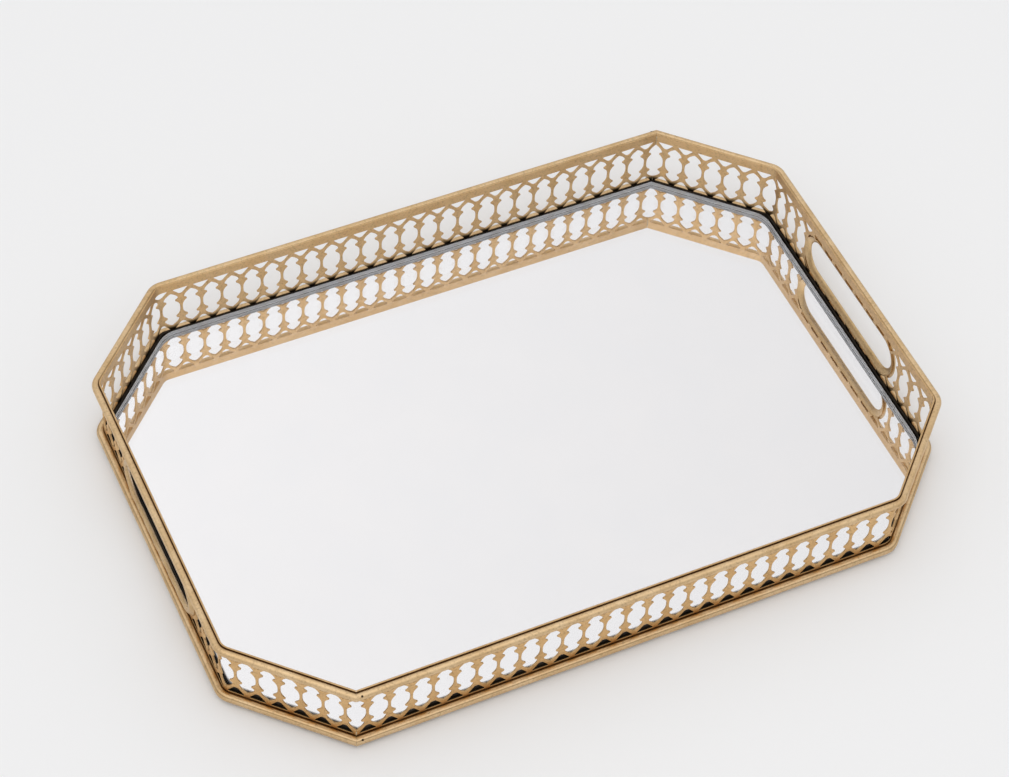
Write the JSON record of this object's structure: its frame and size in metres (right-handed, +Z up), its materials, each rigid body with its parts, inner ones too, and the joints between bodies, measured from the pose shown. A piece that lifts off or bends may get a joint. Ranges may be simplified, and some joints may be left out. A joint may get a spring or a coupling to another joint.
{
  "type": "vanity tray",
  "caption": "Long octagonal mirror tray with a pierced brass gallery wall, beaded rails and a hand slot at each end, for perfume bottles on a dresser.",
  "frame": {"origin": "centre of the tray's plan, on the surface that its foot pads stand on", "axes": "+X along the tray's length, +Y across it towards the back, +Z up"},
  "size_m": [0.384, 0.2712, 0.0421],
  "materials": {
    "gallery_brass": "satin, plated, a little worn",
    "rail_brass": "satin, plated, polished along the crown",
    "ring_brass": "satin, plated",
    "clip_brass": "satin, unpolished",
    "pin_metal": "dark, oxidised",
    "mirror": "polished float glass, silvered on its underside, with a ground edge",
    "base_paint": "matt black paint",
    "foam_tape": "matt foam",
    "pad_rubber": "matt"
  },
  "bodies": {
    "root": {"gallery_right": "gallery_brass", "top_rail_right": "rail_brass", "bottom_rail_right": "rail_brass", "handle_ring_right": "ring_brass", "joint_pin_top_right": "pin_metal", "joint_pin_bottom_right": "pin_metal", "gallery_left": "gallery_brass", "top_rail_left": "rail_brass", "bottom_rail_left": "rail_brass", "handle_ring_left": "ring_brass", "joint_pin_top_left": "pin_metal", "joint_pin_bottom_left": "pin_metal", "mirror_glass": "mirror", "base_pan": "base_paint", "mirror_tape_back": "foam_tape", "mirror_tape_front": "foam_tape", "mirror_tape_right": "foam_tape", "mirror_tape_left": "foam_tape", "base_clip_1": "clip_brass", "base_clip_2": "clip_brass", "base_clip_3": "clip_brass", "base_clip_4": "clip_brass", "base_clip_5": "clip_brass", "base_clip_6": "clip_brass", "base_clip_7": "clip_brass", "base_clip_8": "clip_brass", "foot_pad_1": "pad_rubber", "foot_pad_2": "pad_rubber", "foot_pad_3": "pad_rubber", "foot_pad_4": "pad_rubber"}
  },
  "joints": []
}
